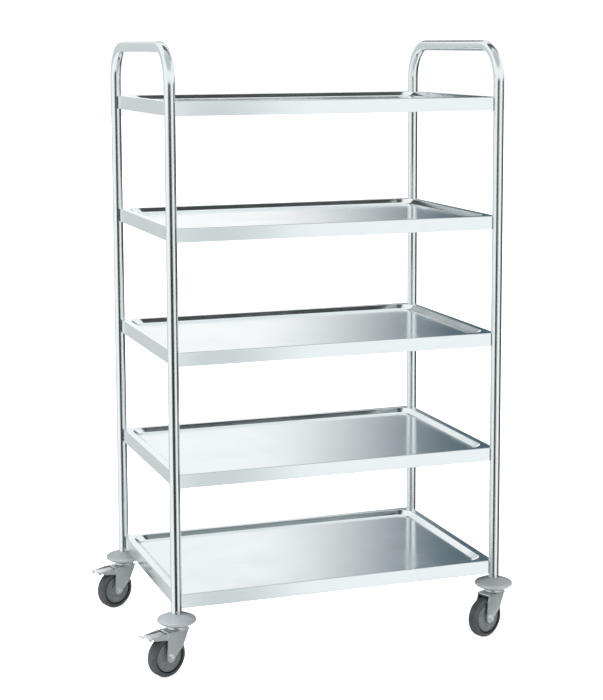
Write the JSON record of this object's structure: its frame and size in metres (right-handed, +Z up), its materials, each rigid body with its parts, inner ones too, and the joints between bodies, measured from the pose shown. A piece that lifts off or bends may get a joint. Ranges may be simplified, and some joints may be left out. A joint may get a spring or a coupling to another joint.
{
  "type": "food service trolley",
  "caption": "Tall stainless steel serving trolley: shallow rimmed trays welded between two bent-tube end frames with handle loops, on swivel casters with grey bumpers, brakes at one end.",
  "frame": {"origin": "on the floor, midway between the four uprights", "axes": "+X along the trays towards the end without brakes, -Y is the front seen in the picture, +Z up"},
  "size_m": [0.9851, 0.6449, 1.496],
  "materials": {
    "tube_stainless": "polished stainless tube",
    "tray_stainless": "bright stainless sheet with a fine grain",
    "weld_stainless": "brushed-off weld bead",
    "zinc_plated_steel": "bright zinc plating",
    "zinc_plated_fasteners": "zinc plated",
    "bearing_steel": "polished",
    "bumper_plastic": "light grey, soft sheen",
    "wheel_plastic": "mid grey, moulded",
    "tyre_rubber": "dark grey, non-marking"
  },
  "bodies": {
    "root": {"frame_left": "tube_stainless", "frame_right": "tube_stainless", "tray_top": "tray_stainless", "tray_second": "tray_stainless", "tray_middle": "tray_stainless", "tray_fourth": "tray_stainless", "tray_bottom": "tray_stainless", "welds_front_left": "weld_stainless", "bumper_front_left": "bumper_plastic", "stem_front_left": "zinc_plated_steel", "swivel_race_front_left": "zinc_plated_steel", "welds_back_left": "weld_stainless", "bumper_back_left": "bumper_plastic", "stem_back_left": "zinc_plated_steel", "swivel_race_back_left": "zinc_plated_steel", "welds_front_right": "weld_stainless", "bumper_front_right": "bumper_plastic", "stem_front_right": "zinc_plated_steel", "swivel_race_front_right": "zinc_plated_steel", "welds_back_right": "weld_stainless", "bumper_back_right": "bumper_plastic", "stem_back_right": "zinc_plated_steel", "swivel_race_back_right": "zinc_plated_steel", "stem_screws": "zinc_plated_fasteners", "kingpins": "zinc_plated_fasteners"},
    "caster_front_left": {"fork_front_left": "zinc_plated_steel", "bearing_balls_front_left": "bearing_steel", "axle_bolt_front_left": "zinc_plated_fasteners", "axle_nut_front_left": "zinc_plated_fasteners", "wheel_sleeve_front_left": "bearing_steel", "brake_pivot_front_left": "zinc_plated_fasteners"},
    "wheel_front_left": {"wheel_core_front_left": "wheel_plastic", "tyre_front_left": "tyre_rubber"},
    "brake_front_left": {"brake_pedal_front_left": "zinc_plated_steel"},
    "caster_back_left": {"fork_back_left": "zinc_plated_steel", "bearing_balls_back_left": "bearing_steel", "axle_bolt_back_left": "zinc_plated_fasteners", "axle_nut_back_left": "zinc_plated_fasteners", "wheel_sleeve_back_left": "bearing_steel", "brake_pivot_back_left": "zinc_plated_fasteners"},
    "wheel_back_left": {"wheel_core_back_left": "wheel_plastic", "tyre_back_left": "tyre_rubber"},
    "brake_back_left": {"brake_pedal_back_left": "zinc_plated_steel"},
    "caster_front_right": {"fork_front_right": "zinc_plated_steel", "bearing_balls_front_right": "bearing_steel", "axle_bolt_front_right": "zinc_plated_fasteners", "axle_nut_front_right": "zinc_plated_fasteners", "wheel_sleeve_front_right": "bearing_steel"},
    "wheel_front_right": {"wheel_core_front_right": "wheel_plastic", "tyre_front_right": "tyre_rubber"},
    "caster_back_right": {"fork_back_right": "zinc_plated_steel", "bearing_balls_back_right": "bearing_steel", "axle_bolt_back_right": "zinc_plated_fasteners", "axle_nut_back_right": "zinc_plated_fasteners", "wheel_sleeve_back_right": "bearing_steel"},
    "wheel_back_right": {"wheel_core_back_right": "wheel_plastic", "tyre_back_right": "tyre_rubber"}
  },
  "joints": [
    {"name": "swivel_front_left", "type": "hinge", "parent": "root", "child": "caster_front_left", "pos_m": [-0.415, -0.27, 0.111], "axis": [0, 0, 1], "continuous": true},
    {"name": "roll_front_left", "type": "hinge", "parent": "caster_front_left", "child": "wheel_front_left", "pos_m": [-0.44446, -0.2825, 0.05], "axis": [-0.3907, 0.9205, 0], "continuous": true},
    {"name": "brake_press_front_left", "type": "hinge", "parent": "caster_front_left", "child": "brake_front_left", "pos_m": [-0.45366, -0.28641, 0.104], "axis": [0.3907, -0.9205, 0], "range_deg": [0, 14]},
    {"name": "swivel_back_left", "type": "hinge", "parent": "root", "child": "caster_back_left", "pos_m": [-0.415, 0.27, 0.111], "axis": [0, 0, 1], "continuous": true},
    {"name": "roll_back_left", "type": "hinge", "parent": "caster_back_left", "child": "wheel_back_left", "pos_m": [-0.44446, 0.2575, 0.05], "axis": [-0.3907, 0.9205, 0], "continuous": true},
    {"name": "brake_press_back_left", "type": "hinge", "parent": "caster_back_left", "child": "brake_back_left", "pos_m": [-0.45366, 0.25359, 0.104], "axis": [0.3907, -0.9205, 0], "range_deg": [0, 14]},
    {"name": "swivel_front_right", "type": "hinge", "parent": "root", "child": "caster_front_right", "pos_m": [0.415, -0.27, 0.111], "axis": [0, 0, 1], "continuous": true},
    {"name": "roll_front_right", "type": "hinge", "parent": "caster_front_right", "child": "wheel_front_right", "pos_m": [0.38554, -0.2825, 0.05], "axis": [-0.3907, 0.9205, 0], "continuous": true},
    {"name": "swivel_back_right", "type": "hinge", "parent": "root", "child": "caster_back_right", "pos_m": [0.415, 0.27, 0.111], "axis": [0, 0, 1], "continuous": true},
    {"name": "roll_back_right", "type": "hinge", "parent": "caster_back_right", "child": "wheel_back_right", "pos_m": [0.38554, 0.2575, 0.05], "axis": [-0.3907, 0.9205, 0], "continuous": true}
  ]
}
